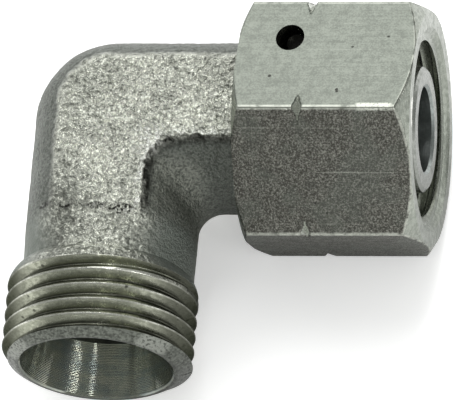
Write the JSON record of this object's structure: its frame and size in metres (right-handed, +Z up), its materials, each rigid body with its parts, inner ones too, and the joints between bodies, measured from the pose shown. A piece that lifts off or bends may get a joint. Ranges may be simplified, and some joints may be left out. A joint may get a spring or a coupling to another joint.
{
  "type": "threaded elbow adapter with swivel nut",
  "caption": "Right-angle hydraulic tube fitting: a forged elbow with a threaded male end on its leg and a swivelling hexagon nut on its arm.",
  "frame": {"origin": "middle of the footprint, on the surface that the fitting lies on", "axes": "+Z up, +X along the nut's axis from the elbow to the nut, the leg towards -Y with its end dipped"},
  "size_m": [0.0386, 0.0376, 0.0236],
  "materials": {
    "forged_zinc": "zinc plated over a coarse forged skin, turned on the male end and the nose",
    "nut_zinc": "zinc plated, drawn bar with turned chamfers",
    "spring_wire": "bright drawn wire",
    "seal_rubber": "black nitrile, satin"
  },
  "bodies": {
    "elbow": {"elbow_body": "forged_zinc", "o_ring": "seal_rubber"},
    "nut": {"swivel_nut": "nut_zinc", "retaining_wire": "spring_wire"}
  },
  "joints": [
    {"name": "nut_swivel", "type": "hinge", "parent": "elbow", "child": "nut", "pos_m": [0.0026, 0.00625, 0.01179], "axis": [1, 0, 0], "continuous": true}
  ]
}
